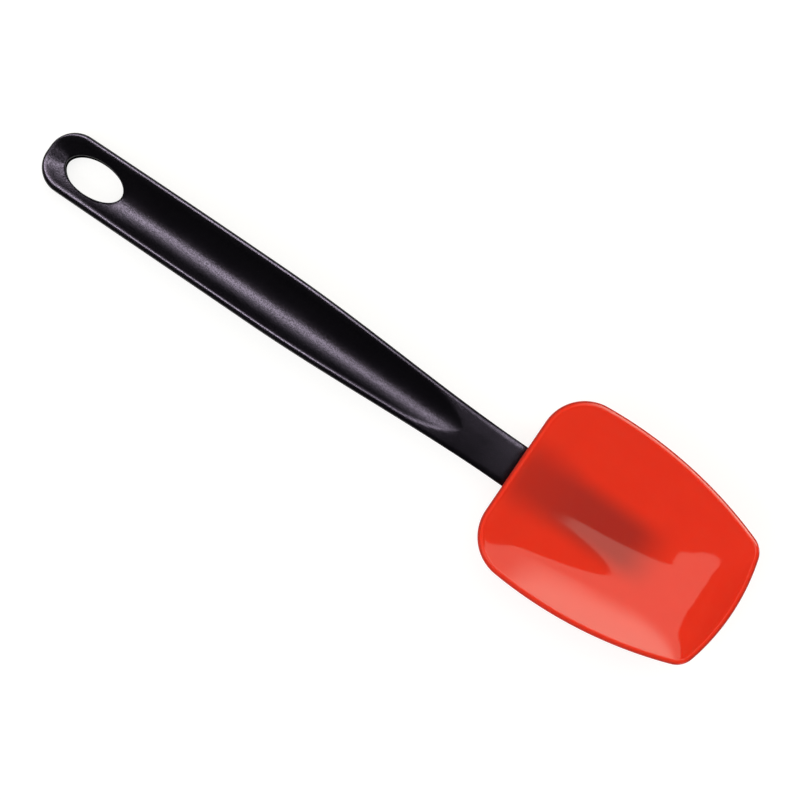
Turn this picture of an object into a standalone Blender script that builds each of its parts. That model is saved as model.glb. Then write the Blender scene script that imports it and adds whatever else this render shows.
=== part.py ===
# Silicone spoon: a black nylon handle with a grip channel, and a red silicone
# bowl moulded over the handle's tang. Two objects, "handle" and "head".
#
# Sizes are in millimetres. Lengthways stations count from the butt end of the
# handle (s) or from the bowl's shoulder (t), heights from the table (z), and
# the spoon is symmetric about y = 0. The finished mesh is in metres, with x
# counted from the middle of the spoon.

import bpy
import bmesh
import math

METRE = 0.001

# Overall lengths
HANDLE_LENGTH = 185.9
BOWL_LENGTH = 85.4

# Grip, seen from above
GRIP_WIDTH = 21.8
END_WIDTH = 21.4
END_WIDENS_OVER = 60.0
END_CORNER_RADIUS = 9.5
NECK_WIDTH = 15.3
TAPER_LENGTH = 94.0
TAPER_STOPS_BEFORE_BOWL = 4.0

# Grip, seen from the side
END_HEIGHT = 7.2
GRIP_HEIGHT = 8.8
NECK_HEIGHT = 6.2
TALLEST_AT = 75.0
ARCH_RISE = 3.4
END_FLAT = 8.0
END_UNDERCUT = 2.6
END_UNDERCUT_LENGTH = 6.0
UNDERSIDE_FULLNESS = 2.3

# Rounded shoulders beside the channel, wider where the neck turns flat
SHOULDER_INSET = 1.3
SHOULDER_DROP = 1.5
NECK_SHOULDER_INSET = 3.0
NECK_SHOULDER_DROP = 2.2
SHOULDER_WIDENS_OVER = 60.0
SHOULDER_WIDE_BEFORE_BOWL = 5.0

# Channel in the grip, a trough of constant radius that runs out in a point
CHANNEL_DEPTH = 3.6
CHANNEL_LAND = 0.4
CHANNEL_POINT_LENGTH = 22.4
FLAT_NECK_LENGTH = 21.2
CHANNEL_POINT_FULLNESS = 0.65
CHANNEL_RUN_UP = 0.12

# Hanging hole through the channel's floor
HOLE_LENGTH = 21.8
HOLE_WIDTH = 12.2
HOLE_FROM_BUTT = 7.1

# Tang inside the bowl
TANG_LENGTH = 52.5
TANG_WIDTH = 13.0
TANG_NARROWS_OVER = 9.0
TANG_TIP_THICKNESS = 2.4
TANG_TIP_RADIUS = 2.2
TANG_SHOULDER_INSET = 1.0
TANG_FULLNESS = 4.0
TANG_CLEARANCE = 0.3

# Bowl, seen from above
BOWL_WIDTH = 67.0
WIDEST_AT = 27.0
SIDE_RADIUS = 152.0
SHOULDER_CORNER_RADIUS = 15.5
TIP_RADIUS = 73.0
TIP_CORNER_RADIUS = 7.5

# Bowl, hollow side: its depth under the rim and how full its slopes are
BOWL_DEPTH = 11.7
DEEPEST_AT = 44.5
SHOULDER_SLOPE = 2.14
TIP_SLOPE = 4.14
SIDE_SLOPE = 2.15
LIP_RADIUS = 1.0
LIP_INNER_WRAP = 50.0
WALL = 2.2

# Raised tongue over the tang, on the hollow side
TONGUE_DIP = 1.78
TONGUE_LENGTH = 62.9
TONGUE_EASING = 1.97
TONGUE_HALF_WIDTH = 4.0
TONGUE_DISH_RADIUS = 36.3
FLANK_AT_SHOULDER = 20.6
FLANK_AT_TIP = 1.0
FLANK_TAPER = 0.5
FLANK_FULLNESS = 0.98

# Silicone between the tongue's surface and the tang
COVER_AT_SHOULDER = 4.2
COVER_AT_TIP = 1.1
COVER_THINNING = 3.0

# Spine under the tang, on the back
SPINE_WALL = 1.5
SPINE_SIDE_WALL = 1.7
SPINE_EDGE_RADIUS = 2.6
SPINE_FLARE = 0.45
SPINE_FOOT_LENGTH = 12.0
SPINE_END_WALL = 1.6
SPINE_END_ROUNDING = 8.0
SPINE_END_SHARE = 0.55
MOUTH_SET_BACK = 0.3

# How finely the curved faces are divided
UNDERSIDE_STEPS = 9
SHOULDER_STEPS = 4
CHANNEL_STEPS = 14
HOLE_STEPS = 40
LIP_STEPS = 6
SPINE_EDGE_STEPS = 4
SPINE_FLARE_STEPS = 6
SPINE_ROOF_STEPS = 6
OUTLINE_SPACING = 2.4

# Least sizes that keep a cross-section from closing on itself
LEAST_ROUNDING = 0.2
LEAST_DROP = 0.02
LEAST_FLAT_SHARE = 0.3
MOST_DROP_SHARE = 0.4

# How far cutters reach past what they cut
CHANNEL_CUTTER_RISE = 1.4
CHANNEL_CUTTER_RUN_OUT = 6.0
HOLE_CUTTER_REACH = 3.0
POCKET_RUN_IN = 4.0

# Sizes that follow from the ones above
TOTAL_LENGTH = HANDLE_LENGTH + BOWL_LENGTH
TAPER_END = HANDLE_LENGTH - TAPER_STOPS_BEFORE_BOWL
TAPER_START = TAPER_END - TAPER_LENGTH
SHOULDER_WIDENS_TO = HANDLE_LENGTH - SHOULDER_WIDE_BEFORE_BOWL
SHOULDER_WIDENS_FROM = SHOULDER_WIDENS_TO - SHOULDER_WIDENS_OVER
CHANNEL_END = HANDLE_LENGTH - FLAT_NECK_LENGTH
CHANNEL_POINT_STARTS = CHANNEL_END - CHANNEL_POINT_LENGTH
CHANNEL_EDGE = SHOULDER_INSET + CHANNEL_LAND
CHANNEL_HALF_WIDTH = GRIP_WIDTH / 2.0 - CHANNEL_EDGE
CHANNEL_RADIUS = (CHANNEL_HALF_WIDTH ** 2 + CHANNEL_DEPTH ** 2) / (2.0 * CHANNEL_DEPTH)
END_CORNER = min(END_CORNER_RADIUS, 0.45 * END_WIDTH)
HOLE_CENTRE = HOLE_FROM_BUTT + HOLE_LENGTH / 2.0
TANG_END = HANDLE_LENGTH + TANG_LENGTH
SPINE_BODY_END = TANG_LENGTH + TANG_CLEARANCE + SPINE_END_WALL
SPINE_LEVEL_FROM = SPINE_BODY_END - SPINE_FOOT_LENGTH
BOWL_MIDDLE = BOWL_LENGTH / 2.0


def clamp(value, low, high):
    return max(low, min(high, value))


def ease(value, start, end):
    """0 before start, 1 after end, and a smooth S between them."""
    part = clamp((value - start) / (end - start), 0.0, 1.0)
    return part * part * (3.0 - 2.0 * part)


def mix(first, second, part):
    return first + (second - first) * part


def spread(first, last, count):
    """Evenly spaced values from first to last, count steps apart."""
    return [mix(first, last, step / count) for step in range(count + 1)]


def quarter_round(distance, radius):
    """How much of a rounding is still missing this far from its edge, 1 to 0."""
    part = clamp(distance / radius, 0.0, 1.0)
    return 1.0 - math.sqrt(1.0 - (1.0 - part) ** 2)


# Heights that the two pieces share: the rim stands over the stack of cover,
# tang and spine at the tip of the tang

def tongue_drop(t):
    """How far the tongue's top has fallen below the rim."""
    left = 1.0 - clamp(t / TONGUE_LENGTH, 0.0, 1.0)
    return TONGUE_DIP + (BOWL_DEPTH - TONGUE_DIP) * (1.0 - left ** TONGUE_EASING)


def tang_part(t):
    """0 at the bowl's shoulder, 1 at the tip of the tang."""
    return clamp(t / TANG_LENGTH, 0.0, 1.0)


def cover(t):
    """Thickness of the silicone over the tang."""
    return COVER_AT_TIP + (COVER_AT_SHOULDER - COVER_AT_TIP) * (1.0 - tang_part(t)) ** COVER_THINNING


RIM_HEIGHT = (tongue_drop(TANG_LENGTH) + COVER_AT_TIP + TANG_CLEARANCE + TANG_TIP_THICKNESS
              + TANG_CLEARANCE + SPINE_WALL)
LIP_CENTRE_HEIGHT = RIM_HEIGHT - LIP_RADIUS


def tang_top(t):
    return RIM_HEIGHT - tongue_drop(t) - cover(t) - TANG_CLEARANCE


def tang_underside(t):
    return tang_top(t) - mix(NECK_HEIGHT, TANG_TIP_THICKNESS, tang_part(t))


NECK_UNDERSIDE = tang_underside(0.0)


# Handle: widths and heights along its length

def plain_half_width(s):
    """Half the handle's width, before its butt and tang tip are rounded."""
    end_loss = (GRIP_WIDTH - END_WIDTH) * clamp(1.0 - s / END_WIDENS_OVER, 0.0, 1.0) ** 2
    width = mix(GRIP_WIDTH, NECK_WIDTH, ease(s, TAPER_START, TAPER_END)) - end_loss
    width = mix(width, TANG_WIDTH, ease(s, HANDLE_LENGTH, HANDLE_LENGTH + TANG_NARROWS_OVER))
    return width / 2.0


def rounded_off(run, radius):
    """What a corner takes off the half width, this far into its radius."""
    run = clamp(run, 0.0, radius)
    return radius - math.sqrt(radius * radius - run * run)


def handle_half_width(s, inset=0.0):
    """Half the width of the handle's outline, drawn in by an inset all round."""
    half = plain_half_width(s) - inset
    half -= rounded_off(END_CORNER - s, END_CORNER - inset)
    half -= rounded_off(s - (TANG_END - TANG_TIP_RADIUS), TANG_TIP_RADIUS)
    return half


def grip_underside(s):
    """Height of the grip's underside, flat at the butt and arched to the neck."""
    part = clamp((s - END_FLAT) / (HANDLE_LENGTH - END_FLAT), 0.0, 1.0)
    return NECK_UNDERSIDE * part + 4.0 * ARCH_RISE * part * (1.0 - part)


def grip_height(s):
    """Thickness of the grip, ridge to underside."""
    if s < TALLEST_AT:
        return mix(END_HEIGHT, GRIP_HEIGHT, ease(s, 0.0, TALLEST_AT))
    return mix(GRIP_HEIGHT, NECK_HEIGHT, ease(s, TALLEST_AT, HANDLE_LENGTH))


def underside_height(s):
    if s > HANDLE_LENGTH:
        return tang_underside(s - HANDLE_LENGTH)
    return grip_underside(s)


def top_height(s):
    """Height of the ridges, the flat neck and the top of the tang."""
    if s > HANDLE_LENGTH:
        return tang_top(s - HANDLE_LENGTH)
    return grip_underside(s) + grip_height(s)


def shoulder_inset(s):
    grip_to_neck = ease(s, SHOULDER_WIDENS_FROM, SHOULDER_WIDENS_TO)
    inset = mix(SHOULDER_INSET, NECK_SHOULDER_INSET, grip_to_neck)
    neck_to_tang = ease(s, HANDLE_LENGTH, HANDLE_LENGTH + TANG_NARROWS_OVER)
    return mix(inset, TANG_SHOULDER_INSET, neck_to_tang)


def shoulder_drop(s):
    grip_to_neck = ease(s, SHOULDER_WIDENS_FROM, SHOULDER_WIDENS_TO)
    drop = mix(SHOULDER_DROP, NECK_SHOULDER_DROP, grip_to_neck)
    return min(drop, MOST_DROP_SHARE * (top_height(s) - underside_height(s)))


def handle_ring(s, grow=0.0):
    """One closed cross-section of the handle, as points (s, y, z)."""
    half = handle_half_width(s) + grow
    flat = max(handle_half_width(s, shoulder_inset(s)), LEAST_FLAT_SHARE * half)
    flat = min(flat, half - LEAST_ROUNDING)
    end_rounding = quarter_round(s, SHOULDER_INSET)
    top = top_height(s) + grow - SHOULDER_DROP * end_rounding
    drop = shoulder_drop(s) * (1.0 - end_rounding) + LEAST_DROP
    bottom = underside_height(s) - grow + END_UNDERCUT * quarter_round(s, END_UNDERCUT_LENGTH)
    fullness = mix(UNDERSIDE_FULLNESS, TANG_FULLNESS,
                   ease(s, HANDLE_LENGTH - TANG_NARROWS_OVER, HANDLE_LENGTH + TANG_NARROWS_OVER))
    side = []
    for step in range(SHOULDER_STEPS):
        angle = math.pi / 2.0 * (1.0 - step / SHOULDER_STEPS)
        side.append((flat + (half - flat) * math.cos(angle), top - drop + drop * math.sin(angle)))
    for step in range(UNDERSIDE_STEPS):
        angle = math.pi / 2.0 * step / UNDERSIDE_STEPS
        across = half * math.cos(angle) ** (2.0 / fullness)
        down = (top - drop - bottom) * math.sin(angle) ** (2.0 / fullness)
        side.append((across, top - drop - down))
    right = [(s, y, z) for y, z in side]
    left = [(s, -y, z) for y, z in reversed(side)]
    return [(s, 0.0, top)] + right + [(s, 0.0, bottom)] + left


def tang_stations():
    """Cross-sections of the tang, closer where its tip is rounded."""
    straight = spread(HANDLE_LENGTH, TANG_END - TANG_TIP_RADIUS, 11)[1:]
    return straight + [TANG_END - TANG_TIP_RADIUS * part for part in (0.6, 0.3, 0.1, 0.0)]


def handle_stations():
    """Where the handle's cross-sections stand, closer where its form turns."""
    butt = [END_CORNER * part for part in (0.0, 0.04, 0.1, 0.2, 0.33, 0.5, 0.72, 1.0)]
    grip = spread(END_CORNER, CHANNEL_POINT_STARTS, 20)[1:]
    neck = spread(CHANNEL_POINT_STARTS, HANDLE_LENGTH, 14)[1:]
    return butt + grip + neck + tang_stations()


# Channel: a trough of constant radius, deep where it is wide

def channel_half_width(s):
    """Half the width of the channel's mouth, from the butt to the end of its point."""
    half = handle_half_width(s, shoulder_inset(s) + CHANNEL_LAND)
    part = clamp((s - CHANNEL_POINT_STARTS) / CHANNEL_POINT_LENGTH, 0.0, 1.0)
    return half * (1.0 - part * part) ** CHANNEL_POINT_FULLNESS


def channel_depth(s):
    """Depth of the trough's floor below the ridges, less than 0 past its ends."""
    if s < CHANNEL_EDGE:
        return s - CHANNEL_EDGE
    if s > CHANNEL_END:
        return (CHANNEL_END - s) * CHANNEL_RUN_UP
    half = channel_half_width(s)
    return CHANNEL_RADIUS - math.sqrt(CHANNEL_RADIUS ** 2 - half ** 2)


def channel_ring(s):
    """Cross-section of the trough, closed off a little above the ridges."""
    ridge = grip_underside(s) + grip_height(s)
    centre = ridge + CHANNEL_RADIUS - channel_depth(s)
    reach = centre - ridge - CHANNEL_CUTTER_RISE
    turn = math.acos(clamp(reach / CHANNEL_RADIUS, -1.0, 1.0))
    points = []
    for step in range(CHANNEL_STEPS + 1):
        angle = turn * (2.0 * step / CHANNEL_STEPS - 1.0)
        points.append((s, CHANNEL_RADIUS * math.sin(angle), centre - CHANNEL_RADIUS * math.cos(angle)))
    return points


def channel_stations():
    before = [CHANNEL_EDGE * 0.6]
    butt = [mix(CHANNEL_EDGE, END_CORNER, part) for part in (0.0, 0.06, 0.15, 0.28, 0.46, 0.68)]
    grip = spread(END_CORNER, CHANNEL_POINT_STARTS, 20)
    point = [CHANNEL_END - CHANNEL_POINT_LENGTH * part
             for part in (0.86, 0.72, 0.58, 0.44, 0.32, 0.2, 0.1, 0.03, 0.0)]
    after = [CHANNEL_END + CHANNEL_CUTTER_RUN_OUT * part for part in (0.5, 1.0)]
    return before + butt + grip + point + after


# Bowl: its outline is one side arc, a corner at the shoulder, a corner at the
# tip and the tip's own arc, each touching the next

def meeting_point(centre_a, radius_a, centre_b, radius_b):
    """The upper of the two points where two circles cross."""
    along = (centre_b[0] - centre_a[0], centre_b[1] - centre_a[1])
    apart = math.hypot(along[0], along[1])
    reach = (radius_a ** 2 - radius_b ** 2 + apart ** 2) / (2.0 * apart)
    rise = math.sqrt(max(radius_a ** 2 - reach ** 2, 0.0))
    unit = (along[0] / apart, along[1] / apart)
    foot = (centre_a[0] + reach * unit[0], centre_a[1] + reach * unit[1])
    first = (foot[0] - rise * unit[1], foot[1] + rise * unit[0])
    second = (foot[0] + rise * unit[1], foot[1] - rise * unit[0])
    return max(first, second, key=lambda point: point[1])


def touching_point(centre, radius, corner, corner_radius):
    """Where a corner's circle touches the larger circle that it lies in."""
    stretch = radius / (radius - corner_radius)
    return (centre[0] + (corner[0] - centre[0]) * stretch,
            centre[1] + (corner[1] - centre[1]) * stretch)


SIDE_CENTRE = (WIDEST_AT, BOWL_WIDTH / 2.0 - SIDE_RADIUS)
SHOULDER_CORNER = (
    SHOULDER_CORNER_RADIUS,
    SIDE_CENTRE[1] + math.sqrt((SIDE_RADIUS - SHOULDER_CORNER_RADIUS) ** 2
                               - (SHOULDER_CORNER_RADIUS - WIDEST_AT) ** 2),
)
TIP_CENTRE = (BOWL_LENGTH - TIP_RADIUS, 0.0)
TIP_CORNER = meeting_point(SIDE_CENTRE, SIDE_RADIUS - TIP_CORNER_RADIUS,
                           TIP_CENTRE, TIP_RADIUS - TIP_CORNER_RADIUS)
SHOULDER_JOIN = touching_point(SIDE_CENTRE, SIDE_RADIUS, SHOULDER_CORNER, SHOULDER_CORNER_RADIUS)
SIDE_JOIN = touching_point(SIDE_CENTRE, SIDE_RADIUS, TIP_CORNER, TIP_CORNER_RADIUS)
TIP_JOIN = touching_point(TIP_CENTRE, TIP_RADIUS, TIP_CORNER, TIP_CORNER_RADIUS)


def arc_points(centre, radius, start, end, spacing):
    """Points along an arc from one point towards another, without the last."""
    first = math.atan2(start[1] - centre[1], start[0] - centre[0])
    last = math.atan2(end[1] - centre[1], end[0] - centre[0])
    count = max(3, round(abs(last - first) * radius / spacing))
    return [(centre[0] + radius * math.cos(mix(first, last, step / count)),
             centre[1] + radius * math.sin(mix(first, last, step / count)))
            for step in range(count)]


def bowl_outline():
    """The bowl's outline (t, y), from the middle of the shoulder to the tip and back."""
    straight_end = (0.0, SHOULDER_CORNER[1])
    tip = (BOWL_LENGTH, 0.0)
    across = round(straight_end[1] / OUTLINE_SPACING)
    side = [(0.0, y) for y in spread(0.0, straight_end[1], across)[:-1]]
    side += arc_points(SHOULDER_CORNER, SHOULDER_CORNER_RADIUS, straight_end, SHOULDER_JOIN, OUTLINE_SPACING)
    side += arc_points(SIDE_CENTRE, SIDE_RADIUS, SHOULDER_JOIN, SIDE_JOIN, OUTLINE_SPACING * 1.6)
    side += arc_points(TIP_CORNER, TIP_CORNER_RADIUS, SIDE_JOIN, TIP_JOIN, OUTLINE_SPACING / 2.0)
    side += arc_points(TIP_CENTRE, TIP_RADIUS, TIP_JOIN, tip, OUTLINE_SPACING)
    other = [(t, -y) for t, y in reversed(side[1:])]
    return side + [tip] + other


def outline_normals(outline):
    """Unit vectors pointing out of the outline, one for each of its points."""
    normals = []
    for index in range(len(outline)):
        before = outline[index - 1]
        after = outline[(index + 1) % len(outline)]
        run = (after[0] - before[0], after[1] - before[1])
        length = math.hypot(run[0], run[1])
        normals.append((-run[1] / length, run[0] / length))
    return normals


def bowl_half_width(t, inset=0.0):
    """Half the bowl's width at t, with the outline drawn in by an inset."""
    if t < SHOULDER_JOIN[0]:
        centre, radius = SHOULDER_CORNER, SHOULDER_CORNER_RADIUS
    elif t < SIDE_JOIN[0]:
        centre, radius = SIDE_CENTRE, SIDE_RADIUS
    elif t < TIP_JOIN[0]:
        centre, radius = TIP_CORNER, TIP_CORNER_RADIUS
    else:
        centre, radius = TIP_CENTRE, TIP_RADIUS
    return centre[1] + math.sqrt(max((radius - inset) ** 2 - (t - centre[0]) ** 2, 0.0))


# Bowl: heights of its hollow side and its back

def floor_profile(t):
    """How deep the bowl is along its middle, as a share of its full depth."""
    if t < DEEPEST_AT:
        return 1.0 - (1.0 - t / DEEPEST_AT) ** SHOULDER_SLOPE
    return 1.0 - ((t - DEEPEST_AT) / (BOWL_LENGTH - DEEPEST_AT)) ** TIP_SLOPE


def dish(t, y, inset):
    """Share of the full depth at a point, 0 all along the inset outline."""
    inside = clamp(t, inset, BOWL_LENGTH - inset)
    half = max(bowl_half_width(inside, inset), 0.5)
    across = clamp(abs(y) / half, 0.0, 1.0)
    stretched = (inside - inset) / (BOWL_LENGTH - 2.0 * inset) * BOWL_LENGTH
    return floor_profile(stretched) * (1.0 - across ** SIDE_SLOPE)


LIP_WRAP = math.radians(LIP_INNER_WRAP)
LIP_INSET = LIP_RADIUS * (1.0 + math.sin(LIP_WRAP))
INNER_EDGE_HEIGHT = LIP_CENTRE_HEIGHT + LIP_RADIUS * math.cos(LIP_WRAP)
FLOOR_HEIGHT = RIM_HEIGHT - BOWL_DEPTH


def flank(t, y):
    """1 on the tongue, falling smoothly to 0 over its flanks, which narrow to its tip."""
    left = 1.0 - clamp(t / TONGUE_LENGTH, 0.0, 1.0)
    run = mix(FLANK_AT_TIP, FLANK_AT_SHOULDER, left ** FLANK_TAPER)
    beyond = ease(abs(y), TONGUE_HALF_WIDTH, TONGUE_HALF_WIDTH + run)
    return (1.0 - beyond) ** FLANK_FULLNESS


def hollow_height(t, y):
    """Height of the bowl's hollow side."""
    depth = INNER_EDGE_HEIGHT - FLOOR_HEIGHT
    bowl = INNER_EDGE_HEIGHT - depth * dish(t, y, LIP_INSET)
    middle = INNER_EDGE_HEIGHT - depth * dish(t, 0.0, LIP_INSET)
    tongue = RIM_HEIGHT - tongue_drop(t) + y * y / (2.0 * TONGUE_DISH_RADIUS)
    rise = max(min(tongue, INNER_EDGE_HEIGHT) - middle, 0.0)
    return bowl + rise * flank(t, y)


def back_height(t, y):
    """Height of the bowl's back, without its spine."""
    depth = LIP_CENTRE_HEIGHT - (FLOOR_HEIGHT - WALL)
    return LIP_CENTRE_HEIGHT - depth * dish(t, y, 0.0)


# Spine: a flat-bottomed rib on the bowl's back that wraps the tang

def spine_underside(t):
    """Height of the spine's flat underside: falling, then level on the table."""
    at_shoulder = NECK_UNDERSIDE - TANG_CLEARANCE - SPINE_WALL
    return at_shoulder * clamp(1.0 - t / SPINE_LEVEL_FROM, 0.0, 1.0)


def spine_roof(t, y):
    """Height of the spine's top, hidden inside the bowl's wall and lip."""
    return min(back_height(t, y) + WALL / 2.0, LIP_CENTRE_HEIGHT)


def spine_ring(t):
    """Cross-section of the spine: flat foot, round edges, and sides that flare into the bowl.

    Past the tang it ends in a rounding.
    """
    present = 1.0 - quarter_round(SPINE_BODY_END + SPINE_END_ROUNDING - t, SPINE_END_ROUNDING)
    roof = spine_roof(t, 0.0)
    bottom = mix(back_height(t, 0.0) + LEAST_ROUNDING, spine_underside(t), present)
    along_tang = min(t, TANG_LENGTH - TANG_TIP_RADIUS)
    half = handle_half_width(HANDLE_LENGTH + along_tang) + TANG_CLEARANCE + SPINE_SIDE_WALL
    half *= mix(SPINE_END_SHARE, 1.0, present)
    radius = min(SPINE_EDGE_RADIUS, (roof - bottom) / 2.0)
    side = []
    for step in range(SPINE_EDGE_STEPS + 1):
        angle = math.pi / 2.0 * step / SPINE_EDGE_STEPS
        side.append((half - radius * (1.0 - math.sin(angle)), bottom + radius * (1.0 - math.cos(angle))))
    climb = roof - bottom - radius
    flare = SPINE_FLARE * climb
    for step in range(1, SPINE_FLARE_STEPS):
        angle = math.pi / 2.0 * step / SPINE_FLARE_STEPS
        side.append((half + flare * (1.0 - math.cos(angle)), bottom + radius + climb * math.sin(angle)))
    top_half = half + flare
    right = [(t, y, z) for y, z in side]
    top = [(t, y, spine_roof(t, y)) for y in spread(top_half, -top_half, SPINE_ROOF_STEPS)]
    left = [(t, -y, z) for y, z in reversed(side)]
    return right + top + left


def spine_stations():
    falling = spread(MOUTH_SET_BACK, SPINE_LEVEL_FROM, 10)
    level = spread(SPINE_LEVEL_FROM, SPINE_BODY_END, 3)[1:]
    rounding = [SPINE_BODY_END + SPINE_END_ROUNDING * part for part in (0.25, 0.5, 0.7, 0.85, 0.95, 1.0)]
    return falling + level + rounding


# Bowl: rings from the middle of its hollow, over the lip, to the middle of its back

RING_SHARES = (0.992, 0.965, 0.92, 0.86, 0.78, 0.68, 0.57, 0.45, 0.32, 0.18)


def drawn_in(outline, share):
    """The outline shrunk towards the bowl's middle."""
    return [(mix(BOWL_MIDDLE, t, share), y * share) for t, y in outline]


def lip_rings(outline):
    """Rings round the lip, from its inner edge over the top to its outer side."""
    normals = outline_normals(outline)
    rings = []
    for step in range(LIP_STEPS + 1):
        angle = mix(-LIP_WRAP, math.pi / 2.0, step / LIP_STEPS)
        inset = LIP_RADIUS * (1.0 - math.sin(angle))
        height = LIP_CENTRE_HEIGHT + LIP_RADIUS * math.cos(angle)
        rings.append([(t - normal[0] * inset, y - normal[1] * inset, height)
                      for (t, y), normal in zip(outline, normals)])
    return rings


def head_rings():
    outline = bowl_outline()
    lip = lip_rings(outline)
    inner_edge = [(t, y) for t, y, z in lip[0]]
    hollow = [[(t, y, hollow_height(t, y)) for t, y in drawn_in(inner_edge, share)]
              for share in reversed(RING_SHARES)]
    back = [[(t, y, back_height(t, y)) for t, y in drawn_in(outline, share)] for share in RING_SHARES]
    return hollow + lip + back


# Mesh making

def place(point):
    """A point (s, y, z) in millimetres as a point of the finished spoon in metres."""
    s, y, z = point
    return ((s - TOTAL_LENGTH / 2.0) * METRE, y * METRE, z * METRE)


def past_handle(ring):
    """A ring that counts from the bowl's shoulder, counted from the butt instead."""
    return [(HANDLE_LENGTH + t, y, z) for t, y, z in ring]


def mesh_object(name, rings, first_end=None, last_end=None):
    """A closed body from rings of points, each joined to the next.

    An end is closed by a fan to its point, or by one face where it has none.
    """
    mesh = bmesh.new()
    loops = [[mesh.verts.new(place(point)) for point in ring] for ring in rings]
    count = len(loops[0])
    for near, far in zip(loops, loops[1:]):
        for index in range(count):
            after = (index + 1) % count
            mesh.faces.new((near[index], near[after], far[after], far[index]))
    for loop, end in ((loops[0], first_end), (loops[-1], last_end)):
        if end is None:
            mesh.faces.new(loop)
            continue
        tip = mesh.verts.new(place(end))
        for index in range(count):
            mesh.faces.new((loop[index], loop[(index + 1) % count], tip))
    bmesh.ops.recalc_face_normals(mesh, faces=mesh.faces)
    data = bpy.data.meshes.new(name)
    mesh.to_mesh(data)
    mesh.free()
    body = bpy.data.objects.new(name, data)
    bpy.context.collection.objects.link(body)
    return body


def make_material(name, colour, roughness, metallic=0.0):
    material = bpy.data.materials.new(name)
    material.use_nodes = True
    shader = material.node_tree.nodes["Principled BSDF"]
    shader.inputs["Base Color"].default_value = (*colour, 1.0)
    shader.inputs["Roughness"].default_value = roughness
    shader.inputs["Metallic"].default_value = metallic
    return material


def combine(body, guide, operation):
    """Join a guide's shape to the body or take it out, and keep the guide hidden."""
    guide.hide_render = True
    guide.display_type = "WIRE"
    boolean = body.modifiers.new(guide.name, "BOOLEAN")
    boolean.operation = operation
    boolean.solver = "EXACT"
    boolean.object = guide


def finish(body, material, crease_degrees):
    body.data.materials.append(material)
    body.data.shade_smooth()
    body.data.set_sharp_from_angle(angle=math.radians(crease_degrees))


def make_channel_cutter():
    return mesh_object("channel_cutter", [channel_ring(s) for s in channel_stations()])


def make_hole_cutter():
    """An upright oval bar through the channel's floor."""
    turns = [math.tau * step / HOLE_STEPS for step in range(HOLE_STEPS)]
    oval = [(HOLE_CENTRE + HOLE_LENGTH / 2.0 * math.cos(turn), HOLE_WIDTH / 2.0 * math.sin(turn))
            for turn in turns]
    low = underside_height(HOLE_CENTRE) - HOLE_CUTTER_REACH
    high = top_height(HOLE_CENTRE) + HOLE_CUTTER_REACH
    return mesh_object("hole_cutter", [[(s, y, z) for s, y in oval] for z in (low, high)])


def make_pocket_cutter():
    """The tang with its clearance all round, and a run-in outside the mouth."""
    stations = spread(HANDLE_LENGTH - POCKET_RUN_IN, HANDLE_LENGTH, 2) + tang_stations()
    rings = [handle_ring(s, TANG_CLEARANCE) for s in stations]
    beyond = [(s + TANG_CLEARANCE, y, z) for s, y, z in rings[-1]]
    return mesh_object("pocket_cutter", rings + [beyond])


def make_spine():
    return mesh_object("spine_guide", [past_handle(spine_ring(t)) for t in spine_stations()])


def make_handle():
    handle = mesh_object("handle", [handle_ring(s) for s in handle_stations()])
    combine(handle, make_channel_cutter(), "DIFFERENCE")
    combine(handle, make_hole_cutter(), "DIFFERENCE")
    finish(handle, make_material("black nylon", (0.012, 0.011, 0.014), 0.42), 28.0)


def make_head():
    middle = HANDLE_LENGTH + BOWL_MIDDLE
    head = mesh_object("head", [past_handle(ring) for ring in head_rings()],
                       first_end=(middle, 0.0, hollow_height(BOWL_MIDDLE, 0.0)),
                       last_end=(middle, 0.0, back_height(BOWL_MIDDLE, 0.0)))
    combine(head, make_spine(), "UNION")
    combine(head, make_pocket_cutter(), "DIFFERENCE")
    finish(head, make_material("red silicone", (0.76, 0.038, 0.015), 0.22), 40.0)


def clear_scene():
    for old in list(bpy.data.objects):
        bpy.data.objects.remove(old, do_unlink=True)


clear_scene()
make_handle()
make_head()
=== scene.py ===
import bmesh
import bpy
import math
from mathutils import Matrix, Vector


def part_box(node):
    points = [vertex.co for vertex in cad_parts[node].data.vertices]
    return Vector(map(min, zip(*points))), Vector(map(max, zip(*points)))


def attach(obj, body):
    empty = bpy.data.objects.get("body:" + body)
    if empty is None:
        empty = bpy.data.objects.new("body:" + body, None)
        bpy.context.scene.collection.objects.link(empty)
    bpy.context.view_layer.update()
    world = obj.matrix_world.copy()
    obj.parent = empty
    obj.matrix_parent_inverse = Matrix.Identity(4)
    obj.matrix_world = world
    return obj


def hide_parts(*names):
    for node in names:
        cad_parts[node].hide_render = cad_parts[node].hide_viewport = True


# A kitchen spoon: a black nylon handle with a grip channel, and a red silicone
# bowl moulded over its tang. Lengths are millimetres until a point is placed:
# s runs from the butt, t from the bowl's shoulder, y across, z up from the table.

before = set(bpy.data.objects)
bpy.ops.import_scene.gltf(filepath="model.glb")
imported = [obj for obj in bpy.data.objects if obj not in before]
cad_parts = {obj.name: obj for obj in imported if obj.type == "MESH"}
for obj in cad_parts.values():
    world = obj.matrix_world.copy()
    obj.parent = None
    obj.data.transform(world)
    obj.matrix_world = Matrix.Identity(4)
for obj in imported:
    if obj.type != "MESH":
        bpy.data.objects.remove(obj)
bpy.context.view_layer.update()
print("frame loaded:", ", ".join(sorted(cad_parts)))

mm = 0.001
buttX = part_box("handle")[0].x / mm
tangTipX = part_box("handle")[1].x / mm
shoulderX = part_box("head")[0].x / mm
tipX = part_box("head")[1].x / mm
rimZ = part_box("head")[1].z / mm
neckEnd = shoulderX - buttX
tangLength = tangTipX - shoulderX
bowlLength = tipX - shoulderX


def clamp(value, low, high):
    return max(low, min(high, value))


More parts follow.
